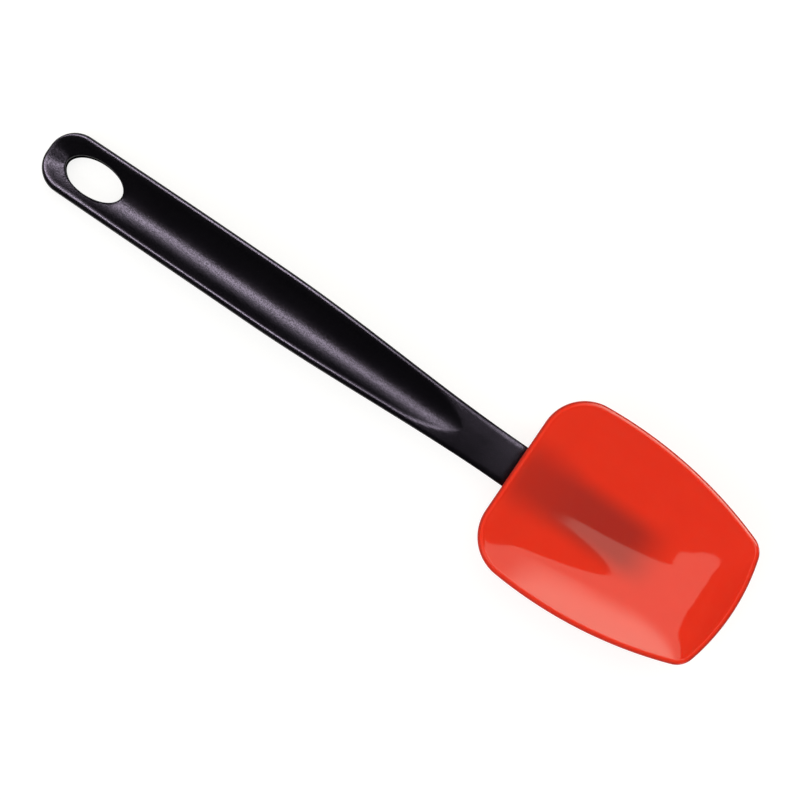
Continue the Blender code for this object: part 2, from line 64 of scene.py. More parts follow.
def ease(value, start, end):   # 0 at start, 1 at end, a smooth S between
    part = clamp((value - start) / (end - start), 0.0, 1.0)
    return part * part * (3.0 - 2.0 * part)


def mix(first, second, part):
    return first + (second - first) * part


def spread(first, last, count):
    return [mix(first, last, step / count) for step in range(count + 1)]


def placed(s, y, z):   # a point of the spoon, in metres
    return Vector(((s + buttX) * mm, y * mm, z * mm))


# Modelling by hand, in code: a ring is started from a circle, extruded and set to its next shape

def pickOnly(piece=None):   # back to object mode with one piece picked, or none
    if bpy.context.mode != "OBJECT":
        bpy.ops.object.mode_set(mode="OBJECT")
    bpy.ops.object.select_all(action="DESELECT")
    if piece:
        piece.select_set(True)
        bpy.context.view_layer.objects.active = piece


def setSelected(piece, place):
    mesh = bmesh.from_edit_mesh(piece.data)
    slot = mesh.verts.layers.int["ringSlot"]
    for vertex in mesh.verts:
        if vertex.select:
            vertex.co = place(vertex.co, vertex[slot])
    bmesh.update_edit_mesh(piece.data)


def startRing(name, points):   # a circle pulled to the first ring's points, left in edit mode
    pickOnly()
    bpy.ops.mesh.primitive_circle_add(vertices=len(points), radius=mm, fill_type="NOTHING")
    piece = bpy.context.object
    piece.name = name
    slots = piece.data.attributes.new("ringSlot", "INT", "POINT")
    slots.data.foreach_set("value", list(range(len(points))))
    bpy.ops.object.mode_set(mode="EDIT")
    bpy.ops.mesh.select_all(action="SELECT")
    setSelected(piece, lambda co, slot: points[slot])
    return piece


def growRing(piece, points):   # the selected ring is extruded and set to its next place
    bpy.ops.mesh.extrude_region_move()
    setSelected(piece, lambda co, slot: points[slot])


def closeMesh(piece):   # points that meet are merged, then the faces are turned outwards
    bpy.ops.mesh.select_all(action="SELECT")
    bpy.ops.mesh.remove_doubles(threshold=mm / 1000.0)
    bpy.ops.mesh.normals_make_consistent(inside=False)
    bpy.ops.object.mode_set(mode="OBJECT")


def loftRings(name, rings):   # rings joined one to the next, with both ends capped
    piece = startRing(name, rings[0])
    bpy.ops.mesh.edge_face_add()
    bpy.ops.mesh.select_all(action="DESELECT")
    bpy.ops.mesh.select_non_manifold(extend=False)
    for ring in rings[1:]:
        growRing(piece, ring)
    bpy.ops.mesh.edge_face_add()
    closeMesh(piece)
    return piece


def applyBoolean(piece, other, operation):
    pickOnly(piece)
    modifier = piece.modifiers.new(other.name, "BOOLEAN")
    modifier.operation = operation
    modifier.solver = "EXACT"
    modifier.object = other
    bpy.ops.object.modifier_apply(modifier=modifier.name)
    bpy.data.objects.remove(other, do_unlink=True)


def smoothShade(piece, degrees):
    pickOnly(piece)
    bpy.ops.object.shade_smooth_by_angle(angle=math.radians(degrees))


# The sizes that both pieces use

tangLine = {   # the line that the tang follows under the tongue
    "dip": 1.78, "depth": 11.7, "length": 62.9, "easing": 1.97, "endBlend": 0.0,
    "coverAtShoulder": 4.2, "coverAtTip": 1.1, "coverThinning": 3.0,
}

handleShape = {
    "gripWidth": 21.8, "endWidth": 21.4, "endWidensOver": 60.0, "endCorner": 9.5,
    "neckWidth": 15.3, "taperLength": 94.0, "taperStopsBeforeBowl": 4.0,
    "endHeight": 7.2, "gripHeight": 8.8, "neckHeight": 6.2, "tallestAt": 75.0,
    "archRise": 3.4, "endFlat": 8.0, "underFullness": 2.3, "buttFullness": 4.0,
    "shoulderInset": 1.3, "shoulderDrop": 1.0, "neckInset": 2.3, "neckDrop": 0.6,
    "shoulderWidensOver": 36.0, "shoulderWideBeforeBowl": 1.0,
    "leastFlatShare": 0.3, "leastInset": 0.2, "mostDropShare": 0.4,
    "channelDepth": 3.6, "buttChannelDepth": 2.3, "channelDeepFrom": 48.0, "channelLand": 0.75,
    "channelPoint": 22.4, "flatNeck": 21.2, "pointFullness": 0.52, "leastMouth": 0.02,
    "ridgeRounding": 1.0, "ridgeInsideShare": 0.45, "ridgeOutsideShare": 0.8,
    "buttRim": 0.45, "rimThickensFrom": 22.5,   # a share of the full rim, and degrees round the butt
    "tangWidth": 13.0, "tangNarrowsOver": 9.0, "tangTip": 2.4, "tangTipRadius": 2.2,
    "tangInset": 1.0, "tangFullness": 4.0, "tangClearance": 0.3,
    "holeLength": 21.8, "holeWidth": 12.2, "holeFromButt": 7.1, "holeRounding": 0.55,
    "holeFlare": ((0.1, 0.1), (0.3, 3.0)),   # how far outwards and past the surface the cutter goes on
    "creaseAngle": 32.0,
    "holeSteps": 96, "fanSteps": 22, "gripSteps": 64, "pointSteps": 44, "neckSteps": 14, "tangSteps": 18,
    "troughSteps": 14, "ridgeSteps": 5, "sideSteps": 18, "shoulderSteps": 7, "pointCrowding": 1.6,
    "tangTipStations": (0.7, 0.45, 0.25, 0.1, 0.02, 0.0),
    "holeUnderDegrees": (72, 55, 38, 20, 0), "holeTopDegrees": (0, 15, 30, 45, 60, 72),
}


def higherOf(first, second, blend):   # the higher of two heights, with the corner between them rounded off
    return (first + second + math.sqrt((first - second) ** 2 + blend ** 2)) / 2.0


def lowerOf(first, second, blend):   # the lower of two, in the same way
    return -higherOf(-first, -second, blend)


def leftOf(line, t):   # 1 at the shoulder, 0 where the line has reached its full depth
    return higherOf(1.0 - t / line["length"], 0.0, line["endBlend"])


def dropAlong(line, t):   # how far a line that sinks along the bowl lies below the rim
    return line["dip"] + (line["depth"] - line["dip"]) * (1.0 - leftOf(line, t) ** line["easing"])


def tangPart(t):
    return clamp(t / tangLength, 0.0, 1.0)


def coverOver(t):   # silicone between the tongue and the tang
    thicker = tangLine["coverAtShoulder"] - tangLine["coverAtTip"]
    return tangLine["coverAtTip"] + thicker * (1.0 - tangPart(t)) ** tangLine["coverThinning"]


def tangTop(t):
    return rimZ - dropAlong(tangLine, t) - coverOver(t) - handleShape["tangClearance"]


def tangUnder(t):
    return tangTop(t) - mix(handleShape["neckHeight"], handleShape["tangTip"], tangPart(t))


# Handle: grip with its channel, hanging hole, neck and tang in one moulding

h = handleShape
taperEnd = neckEnd - h["taperStopsBeforeBowl"]
taperStart = taperEnd - h["taperLength"]
channelEnd = neckEnd - h["flatNeck"]
pointStart = channelEnd - h["channelPoint"]
channelEdge = h["shoulderInset"] + h["channelLand"]
channelHalf = h["gripWidth"] / 2.0 - channelEdge
tangEnd = neckEnd + tangLength
holeCentre = h["holeFromButt"] + h["holeLength"] / 2.0


def plainHalfWidth(s):
    endLoss = (h["gripWidth"] - h["endWidth"]) * clamp(1.0 - s / h["endWidensOver"], 0.0, 1.0) ** 2
    width = mix(h["gripWidth"], h["neckWidth"], ease(s, taperStart, taperEnd)) - endLoss
    return mix(width, h["tangWidth"], ease(s, neckEnd, neckEnd + h["tangNarrowsOver"])) / 2.0


def tangRounding(s):   # what the rounded tip of the tang takes off its half width
    run = clamp(s - (tangEnd - h["tangTipRadius"]), 0.0, h["tangTipRadius"])
    return h["tangTipRadius"] - math.sqrt(h["tangTipRadius"] ** 2 - run * run)


def gripUnder(s):
    part = clamp((s - h["endFlat"]) / (neckEnd - h["endFlat"]), 0.0, 1.0)
    return tangUnder(0.0) * part + 4.0 * h["archRise"] * part * (1.0 - part)


def gripHeight(s):
    if s < h["tallestAt"]:
        return mix(h["endHeight"], h["gripHeight"], ease(s, 0.0, h["tallestAt"]))
    return mix(h["gripHeight"], h["neckHeight"], ease(s, h["tallestAt"], neckEnd))


def underOf(s):
    return tangUnder(s - neckEnd) if s > neckEnd else gripUnder(s)


def topOf(s):
    return tangTop(s - neckEnd) if s > neckEnd else gripUnder(s) + gripHeight(s)


def widening(s):   # 0 on the grip, 1 on the neck
    last = neckEnd - h["shoulderWideBeforeBowl"]
    return ease(s, last - h["shoulderWidensOver"], last)


def channelBend(s):   # the radius of the channel's hollow, which is flatter beside the hanging hole
    depth = mix(h["buttChannelDepth"], h["channelDepth"], ease(s, h["endCorner"], h["channelDeepFrom"]))
    return (channelHalf ** 2 + depth ** 2) / (2.0 * depth)


def sectionAt(s, grow=0.0):   # sizes of one cross-section past the butt
    toTang = ease(s, neckEnd, neckEnd + h["tangNarrowsOver"])
    inset = mix(mix(h["shoulderInset"], h["neckInset"], widening(s)), h["tangInset"], toTang)
    drop = mix(h["shoulderDrop"], h["neckDrop"], widening(s))
    outer = plainHalfWidth(s) - tangRounding(s) + grow
    flat = clamp(plainHalfWidth(s) - inset - tangRounding(s), h["leastFlatShare"] * outer,
                 outer - h["leastInset"])
    part = clamp((s - pointStart) / h["channelPoint"], 0.0, 1.0)
    mouth = (flat - h["channelLand"]) * (1.0 - part * part) ** h["pointFullness"]
    top, bottom = topOf(s) + grow, underOf(s) - grow
    turning = ease(s, neckEnd - h["tangNarrowsOver"], neckEnd + h["tangNarrowsOver"])
    return {"outer": outer, "flat": flat, "mouth": max(mouth, h["leastMouth"]), "top": top, "bottom": bottom,
            "drop": min(drop, h["mostDropShare"] * (top - bottom)), "bend": channelBend(s),
            "fullness": mix(h["underFullness"], h["tangFullness"], turning)}


def buttSection(turn):   # sizes of a cross-section of the rounded butt, turned from its middle to its side
    corner = h["endCorner"]
    out = 0.0
    for settle in range(3):   # the corner's centre stands a little to the side, which settles in three goes
        off = plainHalfWidth(corner - out * math.cos(turn)) - corner
        flatEnd = corner / max(math.cos(turn), 0.001)
        bend = off * math.sin(turn) + math.sqrt(corner ** 2 - (off * math.cos(turn)) ** 2)
        out = flatEnd if flatEnd * math.sin(turn) < off else bend
    s = corner - out * math.cos(turn)
    rim = mix(h["buttRim"], 1.0, ease(turn, math.radians(h["rimThickensFrom"]), math.pi / 2.0))
    return {"outer": out, "flat": out - h["shoulderInset"] * rim, "mouth": out - channelEdge * rim,
            "turn": turn, "off": off, "reach": corner + off - channelEdge * rim,
            "top": topOf(s), "bottom": gripUnder(s), "drop": h["shoulderDrop"], "bend": channelBend(s),
            "fullness": mix(h["buttFullness"], h["underFullness"], ease(turn, 0.0, math.pi / 2.0))}


def troughHeight(size, across):   # round the butt the hollow is measured in from its rim
    reach = size["mouth"]
    if "turn" in size:
        along, aside = across * math.cos(size["turn"]), across * math.sin(size["turn"])
        across = size["off"] + math.hypot(along, max(aside - size["off"], 0.0))
        reach = size["reach"]
    hollow = math.sqrt(size["bend"] ** 2 - across ** 2)
    return size["top"] + math.sqrt(size["bend"] ** 2 - reach ** 2) - hollow


def underHeight(size, across):   # the rounded underside, between the shoulder and the lowest line
    side = size["top"] - size["drop"]
    left = 1.0 - clamp(across / size["outer"], 0.0, 1.0) ** size["fullness"]
    return side - (side - size["bottom"]) * left ** (1.0 / size["fullness"])


def halfSection(size):   # from the middle of the channel over the ridge and down to the middle underneath
    near = min(h["ridgeRounding"], h["ridgeInsideShare"] * size["mouth"])
    far = min(h["ridgeRounding"], h["ridgeOutsideShare"] * (size["flat"] - size["mouth"]))
    points = [(across, troughHeight(size, across))
              for across in spread(0.0, size["mouth"] - near, h["troughSteps"])]
    first = Vector(points[-1])
    ridge = Vector((size["mouth"], size["top"]))
    last = Vector((size["mouth"] + far, size["top"]))
    for part in spread(0.0, 1.0, h["ridgeSteps"])[1:]:
        points.append(tuple(first.lerp(ridge, part).lerp(ridge.lerp(last, part), part)))
    for angle in spread(0.0, math.pi / 2.0, h["shoulderSteps"]):
        points.append((mix(size["flat"], size["outer"], math.sin(angle)),
                       size["top"] - size["drop"] * (1.0 - math.cos(angle))))
    side = size["top"] - size["drop"]
    power = 2.0 / size["fullness"]
    for angle in spread(0.0, math.pi / 2.0, h["sideSteps"])[1:]:
        points.append((size["outer"] * max(math.cos(angle), 0.0) ** power,
                       side - (side - size["bottom"]) * math.sin(angle) ** power))
    points[-1] = (0.0, size["bottom"])
    return points


def buttRing(turn):
    half = halfSection(buttSection(turn))
    along, aside = math.cos(turn), math.sin(turn)
    right = [placed(h["endCorner"] - out * along, out * aside, z) for out, z in half]
    left = [placed(h["endCorner"] - out * along, -out * aside, z) for out, z in half[1:-1]]
    return right + left[::-1]


def handleRing(s, grow=0.0):
    half = halfSection(sectionAt(s, grow))
    return [placed(s, out, z) for out, z in half] + [placed(s, -out, z) for out, z in half[1:-1]][::-1]


def tangStations():
    straight = spread(neckEnd, tangEnd - h["tangTipRadius"], h["tangSteps"])[1:]
    return straight + [tangEnd - h["tangTipRadius"] * part for part in h["tangTipStations"]]


def surfaceSection(s, y):   # the section that a point of the grip lies in, and how far out it is
    if s >= h["endCorner"]:
        return sectionAt(s), abs(y)
    along = h["endCorner"] - s
    return buttSection(math.atan2(abs(y), along)), math.hypot(along, y)


def holeCutter():   # an upright oval bar, flared where it meets the channel and the underside
    radius = h["holeRounding"]
    steps = h["holeSteps"]   # half a step on, so that no corner meets the butt's seam at y 0
    turns = [math.tau * (step + 0.5) / steps for step in range(steps)]

    def oval(offset, height):
        points = []
        for turn in turns:
            half = Vector((h["holeLength"] / 2.0, h["holeWidth"] / 2.0))
            out = Vector((math.cos(turn) * half.y, math.sin(turn) * half.x)).normalized() * offset
            s = holeCentre + half.x * math.cos(turn) + out.x
            y = half.y * math.sin(turn) + out.y
            points.append(placed(s, y, height(*surfaceSection(s, y))))
        return points

    rings = [oval(radius + aside, lambda size, out: underHeight(size, out) - past)
             for aside, past in reversed(h["holeFlare"])]
    for degrees in h["holeUnderDegrees"]:
        angle = math.radians(degrees)
        rings.append(oval(radius * (1.0 - math.cos(angle)),
                          lambda size, out: underHeight(size, out) + radius * (1.0 - math.sin(angle))))
    for degrees in h["holeTopDegrees"]:
        angle = math.radians(degrees)
        rings.append(oval(radius * (1.0 - math.cos(angle)),
                          lambda size, out: troughHeight(size, out) - radius * (1.0 - math.sin(angle))))
    rings += [oval(radius + aside, lambda size, out: troughHeight(size, out) + past)
              for aside, past in h["holeFlare"]]
    return loftRings("hole_cutter", rings)


handleShine = {   # shares of the nylon's gloss; millimetres in from the outline or along the handle
    "ridge": 0.7, "ridgeStarts": (0.1, 0.7), "ridgeStops": (2.3, 3.2), "shoulderBand": 0.3,
    "far": 0.72, "farFrom": (98.0, 138.0),
    "neck": 0.5, "atBowl": 0.85, "dullsOver": 10.0, "evenFor": 4.0,
}


def shineRubbedEdges(piece):   # hands polish the grip, its ridges most; the neck is as dull as it was moulded
    look = handleShine
    shine = piece.data.attributes.new("edgeShine", "FLOAT", "POINT")
    values = []
    for vertex in piece.data.vertices:
        s, y, z = vertex.co.x / mm - buttX, vertex.co.y / mm, vertex.co.z / mm
        size, out = surfaceSection(clamp(s, 0.0, neckEnd), y)
        inside = size["outer"] - out
        onTop = ease(z, size["top"] - size["drop"] - look["shoulderBand"], size["top"] - size["drop"])
        ridge = min(ease(inside, *look["ridgeStarts"]), 1.0 - ease(inside, *look["ridgeStops"])) * onTop
        grip = mix(1.0 + look["ridge"] * ridge, look["far"], ease(s, *look["farFrom"]))
        neck = mix(look["neck"], look["atBowl"], ease(s, channelEnd + look["evenFor"], neckEnd))
        values.append(mix(grip, neck, ease(s, channelEnd - look["dullsOver"], channelEnd)))
    shine.data.foreach_set("value", values)


def makeHandle():
    turns = [math.pi / 2.0 * part for part in spread(0.0, 1.0, h["fanSteps"])]
    point = [channelEnd - h["channelPoint"] * (1.0 - part) ** h["pointCrowding"]
             for part in spread(0.0, 1.0, h["pointSteps"])]
    stations = spread(h["endCorner"], pointStart, h["gripSteps"])[1:-1] + point
    stations += spread(channelEnd, neckEnd, h["neckSteps"])[1:] + tangStations()
    piece = startRing("nylon_handle", buttRing(turns[0]))
    for turn in turns[1:]:
        growRing(piece, buttRing(turn))
    for s in stations:
        growRing(piece, handleRing(s))
    bpy.ops.mesh.edge_face_add()
    closeMesh(piece)
    applyBoolean(piece, holeCutter(), "DIFFERENCE")
    smoothShade(piece, h["creaseAngle"])
    shineRubbedEdges(piece)
    return piece


# Head: the silicone bowl with its rounded lip, tongue and spine

tongue = {   # the raised middle of the hollow, from the shoulder down to the floor
    "dip": 1.74, "depth": 11.58, "length": 64.5, "easing": 1.7, "halfWidth": 3.17, "dishRadius": 25.0,
    "flankAtShoulder": 22.8, "flankAtTip": 0.6, "flankTaper": 0.34, "flankFullness": 1.44,
    "topBlend": 2.99, "floorBlend": 1.52, "endBlend": 0.05, "settlesOver": 4.0,
}

headShape = {
    "width": 67.0, "widestAt": 27.0, "sideRadius": 152.0, "shoulderCorner": 15.5,
    "tipRadius": 73.0, "tipCorner": 7.5,
    "deepestAt": 46.3, "shoulderSlope": 1.95, "tipSlope": 4.25, "sideSlope": 2.2, "wall": 2.2,
    "lipWidth": 1.5, "lipHeight": 1.4, "lipInner": 0.44, "lipWrap": 38.0,
    "lipRoll": 0.35, "lipRollReach": 0.9, "lipRollFades": (1.5, 9.0), "leastHalfWidth": 0.5,
    "spineWall": 1.5, "spineSideWall": 1.7, "spineEdge": 2.6, "spineFlare": 0.45, "spineFoot": 12.0,
    "spineEndWall": 1.6, "spineEndRounding": 8.0, "spineEndShare": 0.55, "spineEndSinks": 0.2,
    "mouthSetBack": 1.1, "mouthGap": 0.06, "mouthRunIn": 4.0, "collarRounding": 0.5, "creaseAngle": 38.0,
    "around": 360, "hollowRings": 34, "lipInnerSteps": 6, "lipSteps": 14, "gridShare": 0.5,
    "edgeInsets": (0.04, 0.12, 0.24, 0.4, 0.6, 0.85, 1.15, 1.6), "backRings": 26, "backStartsAt": 0.94,
    "spineSteps": 30, "spineEdgeSteps": 8, "spineFlareSteps": 10, "spineRoofSteps": 12,
    "spineEndStations": (0.12, 0.25, 0.38, 0.5, 0.6, 0.7, 0.78, 0.85, 0.91, 0.96, 0.99),
    "collarDegrees": (0, 22, 45, 67), "mouthSteps": 4,
}
b = headShape
rollZ = rimZ - b["lipHeight"]
lipWrap = math.radians(b["lipWrap"])
lipInset = b["lipWidth"] + b["lipInner"] * math.sin(lipWrap)
innerZ = rimZ - b["lipInner"] * (1.0 - math.cos(lipWrap))
floorZ = rimZ - tongue["depth"]
bowlMiddle = bowlLength / 2.0


def meetingPoint(centreA, radiusA, centreB, radiusB):   # the upper crossing of two circles
    along = centreB - centreA
    reach = (radiusA ** 2 - radiusB ** 2 + along.length_squared) / (2.0 * along.length)
    rise = math.sqrt(max(radiusA ** 2 - reach ** 2, 0.0))
    unit = along.normalized()
    foot = centreA + unit * reach
    return max(foot + Vector((-unit.y, unit.x)) * rise, foot - Vector((-unit.y, unit.x)) * rise,
               key=lambda point: point.y)


def touchingPoint(centre, radius, corner, cornerRadius):   # where a corner circle touches the larger one
    return centre + (corner - centre) * (radius / (radius - cornerRadius))


sideCentre = Vector((b["widestAt"], b["width"] / 2.0 - b["sideRadius"]))
shoulderCentre = Vector((b["shoulderCorner"], sideCentre.y + math.sqrt(
    (b["sideRadius"] - b["shoulderCorner"]) ** 2 - (b["shoulderCorner"] - b["widestAt"]) ** 2)))
tipCentre = Vector((bowlLength - b["tipRadius"], 0.0))
cornerCentre = meetingPoint(sideCentre, b["sideRadius"] - b["tipCorner"],
                            tipCentre, b["tipRadius"] - b["tipCorner"])
shoulderJoin = touchingPoint(sideCentre, b["sideRadius"], shoulderCentre, b["shoulderCorner"])
sideJoin = touchingPoint(sideCentre, b["sideRadius"], cornerCentre, b["tipCorner"])
tipJoin = touchingPoint(tipCentre, b["tipRadius"], cornerCentre, b["tipCorner"])


def outlinePath():   # evenly spaced points (t, y) and their outward directions, all round the bowl
    arcs = [(shoulderCentre, b["shoulderCorner"], Vector((0.0, shoulderCentre.y)), shoulderJoin),
            (sideCentre, b["sideRadius"], shoulderJoin, sideJoin),
            (cornerCentre, b["tipCorner"], sideJoin, tipJoin),
            (tipCentre, b["tipRadius"], tipJoin, Vector((bowlLength, 0.0)))]
    runs = [shoulderCentre.y]
    spans = []
    for centre, radius, start, end in arcs:
        first = math.atan2(start.y - centre.y, start.x - centre.x)
        last = math.atan2(end.y - centre.y, end.x - centre.x)
        spans.append((first, last))
        runs.append(abs(last - first) * radius)
    half = b["around"] // 2
    side = []
    for step in range(half + 1):
        left = sum(runs) * step / half
        if left <= runs[0]:
            side.append((Vector((0.0, left)), Vector((-1.0, 0.0))))
            continue
        left -= runs[0]
        index = 0
        while index < 3 and left > runs[index + 1]:
            left -= runs[index + 1]
            index += 1
        centre, radius = arcs[index][:2]
        angle = mix(*spans[index], clamp(left / runs[index + 1], 0.0, 1.0))
        out = Vector((math.cos(angle), math.sin(angle)))
        side.append((centre + out * radius, out))
    other = [(Vector((point.x, -point.y)), Vector((out.x, -out.y))) for point, out in side[1:-1]]
    return side + other[::-1]


def bowlHalfWidth(t, inset):
    if t < shoulderJoin.x:
        centre, radius = shoulderCentre, b["shoulderCorner"]
    elif t < sideJoin.x:
        centre, radius = sideCentre, b["sideRadius"]
    elif t < tipJoin.x:
        centre, radius = cornerCentre, b["tipCorner"]
    else:
        centre, radius = tipCentre, b["tipRadius"]
    return centre.y + math.sqrt(max((radius - inset) ** 2 - (t - centre.x) ** 2, 0.0))


def edgeDistance(t, y):   # how far inside the bowl's outline a point lies
    point = Vector((t, abs(y)))
    away = min(t, b["sideRadius"] - (point - sideCentre).length, b["tipRadius"] - (point - tipCentre).length)
    if t < shoulderCentre.x and point.y > shoulderCentre.y:
        away = b["shoulderCorner"] - (point - shoulderCentre).length
    return max(away, 0.0)


def dish(t, y, inset):   # share of the full depth
    inside = clamp(t, inset, bowlLength - inset)
    across = clamp(abs(y) / max(bowlHalfWidth(inside, inset), b["leastHalfWidth"]), 0.0, 1.0)
    run = (inside - inset) / (bowlLength - 2.0 * inset) * bowlLength
    if run < b["deepestAt"]:
        profile = 1.0 - (1.0 - run / b["deepestAt"]) ** b["shoulderSlope"]
    else:
        profile = 1.0 - ((run - b["deepestAt"]) / (bowlLength - b["deepestAt"])) ** b["tipSlope"]
    return profile * (1.0 - across ** b["sideSlope"])


def hollowHeight(t, y):   # the inside: the bowl's dish with the tongue melted into it
    depth = innerZ - floorZ
    bowl = innerZ - depth * dish(t, y, lipInset)
    middle = innerZ - depth * dish(t, 0.0, lipInset)
    top = rimZ - dropAlong(tongue, t) + y * y / (2.0 * tongue["dishRadius"])
    rise = higherOf(lowerOf(top, innerZ, tongue["topBlend"]) - middle, 0.0, tongue["floorBlend"])
    run = mix(tongue["flankAtTip"], tongue["flankAtShoulder"], leftOf(tongue, t) ** tongue["flankTaper"])
    beyond = ease(abs(y), tongue["halfWidth"], tongue["halfWidth"] + run)
    settled = ease(edgeDistance(t, y), lipInset, lipInset + tongue["settlesOver"])
    return bowl + rise * settled * (1.0 - beyond) ** tongue["flankFullness"]


def backHeight(t, y):   # the outside, a wall's thickness below, rolled in under the lip
    depth = rollZ - (floorZ - b["wall"])
    inset = edgeDistance(t, y)
    near = 1.0 - clamp(inset / b["lipRollReach"], 0.0, 1.0)
    roll = b["lipRoll"] * math.sqrt(1.0 - near * near) * (1.0 - ease(inset, *b["lipRollFades"]))
    return rollZ - depth * dish(t, y, 0.0) - roll


def drawnIn(points, share, height):   # a ring shrunk towards the bowl's middle
    ring = []
    for point in points:
        t, y = mix(bowlMiddle, point.x, share), point.y * share
        ring.append(placed(neckEnd + t, y, height(t, y)))
    return ring


def setHeights(piece, height):
    def lifted(co, slot):
        return placed(co.x / mm - buttX, co.y / mm, height(co.x / mm - shoulderX, co.y / mm))
    setSelected(piece, lifted)


def spineSection(t, inset=0.0):   # flat foot, round edges and sides that flare into the bowl
    bodyEnd = tangLength + h["tangClearance"] + b["spineEndWall"]
    run = clamp((bodyEnd + b["spineEndRounding"] - t) / b["spineEndRounding"], 0.0, 1.0)
    present = math.sqrt(1.0 - (1.0 - run) ** 2)
    roofMiddle = min(backHeight(t, 0.0) + b["wall"] / 2.0, rollZ)
    atShoulder = tangUnder(0.0) - h["tangClearance"] - b["spineWall"]
    under = atShoulder * clamp(1.0 - t / (bodyEnd - b["spineFoot"]), 0.0, 1.0) + inset
    bottom = mix(backHeight(t, 0.0) + b["spineEndSinks"], under, present)
    along = min(t, tangLength - h["tangTipRadius"])
    half = plainHalfWidth(neckEnd + along) + h["tangClearance"] + b["spineSideWall"] - inset
    half *= mix(b["spineEndShare"], 1.0, present)
    radius = min(b["spineEdge"], (roofMiddle - bottom) / 2.0)
    side = []
    for angle in spread(0.0, math.pi / 2.0, b["spineEdgeSteps"]):
        side.append((half - radius * (1.0 - math.sin(angle)), bottom + radius * (1.0 - math.cos(angle))))
    climb = roofMiddle - bottom - radius
    for angle in spread(0.0, math.pi / 2.0, b["spineFlareSteps"])[1:-1]:
        side.append((half + b["spineFlare"] * climb * (1.0 - math.cos(angle)),
                     bottom + radius + climb * math.sin(angle)))
    topHalf = half + b["spineFlare"] * climb
    roof = [(y, min(backHeight(t, y) + b["wall"] / 2.0, rollZ))
            for y in spread(topHalf, -topHalf, b["spineRoofSteps"])]
    ring = side + roof + [(-y, z) for y, z in reversed(side)]
    return [placed(neckEnd + t, y, z) for y, z in ring]


def makeSpine():
    bodyEnd = tangLength + h["tangClearance"] + b["spineEndWall"]
    collar = b["collarRounding"]
    rings = []
    for degrees in b["collarDegrees"]:
        angle = math.radians(degrees)
        rings.append(spineSection(b["mouthSetBack"] + collar * (1.0 - math.sin(angle)),
                                  collar * (1.0 - math.cos(angle))))
    rings.reverse()
    rings += [spineSection(t) for t in spread(b["mouthSetBack"] + collar, bodyEnd, b["spineSteps"])]
    rings += [spineSection(bodyEnd + b["spineEndRounding"] * part) for part in b["spineEndStations"]]
    return loftRings("spine", rings)


def tangPocket():   # the tang's own form, a hair larger, with a run-in outside the mouth
    gap = b["mouthGap"]
    stations = spread(neckEnd - b["mouthRunIn"], neckEnd, b["mouthSteps"]) + tangStations()
    rings = [handleRing(s, gap) for s in stations]
    rings.append([point + Vector((gap * mm, 0.0, 0.0)) for point in rings[-1]])
    return loftRings("pocket", rings)


def makeHead():
    outline = outlinePath()
    crest = [(b["lipWidth"] + b["lipInner"] * math.sin(angle), rimZ - b["lipInner"] * (1.0 - math.cos(angle)))
             for angle in spread(lipWrap, 0.0, b["lipInnerSteps"])]
    crest += [(b["lipWidth"] * (1.0 - math.sin(angle)), rimZ - b["lipHeight"] * (1.0 - math.cos(angle)))
              for angle in spread(0.0, math.pi / 2.0, b["lipSteps"])[1:]]
    lip = [[placed(neckEnd + point.x - out.x * inset, point.y - out.y * inset, z) for point, out in outline]
           for inset, z in crest]
    innerEdge = [point - out * lipInset for point, out in outline]
    shares = [mix(b["gridShare"], 1.0, part) for part in spread(0.0, 1.0, b["hollowRings"])]
    piece = startRing("silicone_head", drawnIn(innerEdge, shares[0], hollowHeight))
    bpy.ops.mesh.fill_grid(span=b["around"] // 4)
    setHeights(piece, hollowHeight)
    bpy.ops.mesh.select_all(action="DESELECT")
    bpy.ops.mesh.select_non_manifold(extend=False)
    for share in shares[1:-1]:
        growRing(piece, drawnIn(innerEdge, share, hollowHeight))
    for ring in lip:
        growRing(piece, ring)
    for inset in b["edgeInsets"]:
        growRing(piece, [placed(neckEnd + point.x - out.x * inset, point.y - out.y * inset,
                                backHeight(point.x - out.x * inset, point.y - out.y * inset))
                         for point, out in outline])
    edge = [point for point, out in outline]
    for share in spread(b["backStartsAt"], b["gridShare"], b["backRings"]):
        growRing(piece, drawnIn(edge, share, backHeight))
    bpy.ops.mesh.fill_grid(span=b["around"] // 4)
    setHeights(piece, backHeight)
    closeMesh(piece)
    applyBoolean(piece, makeSpine(), "UNION")
    applyBoolean(piece, tangPocket(), "DIFFERENCE")
    smoothShade(piece, b["creaseAngle"])
    return piece


tangShadow = {   # the dark tang seen through the silicone; millimetres from the middle or along the bowl
    "reach": (16.0, 12.8), "core": (2.5, 4.4), "narrowsOver": (5.0, 25.0),
    "startsOver": (-0.5, 4.5), "pastTang": 8.8, "shortOfTang": 8.5,
    "paler": 0.42, "palerOver": 30.0, "palerEasing": 1.6,   # towards the shoulder, under the thick cover
}

lipLook = {   # shares of the silicone's gloss; millimetres in from the outline or along the bowl
    "line": 2.9, "lineAtTip": 1.0, "tipOver": (74.0, 84.0),   # the bright line along the crest
    "lineStarts": (0.52, 0.9), "lineStops": (1.0, 1.5),
    "outside": 0.05, "inside": 0.3, "insideFrom": (0.9, 1.4),
    "atShoulder": 0.1, "shoulderOver": (3.0, 14.0),
    # the last range is a painted shade on the lip's outer flank: full to 0.4 mm in from the outline, gone by
    # 0.95 mm
    "fullShort": 0.35, "fullPast": 0.15, "paintedRimShade": (0.4, 0.95),
}


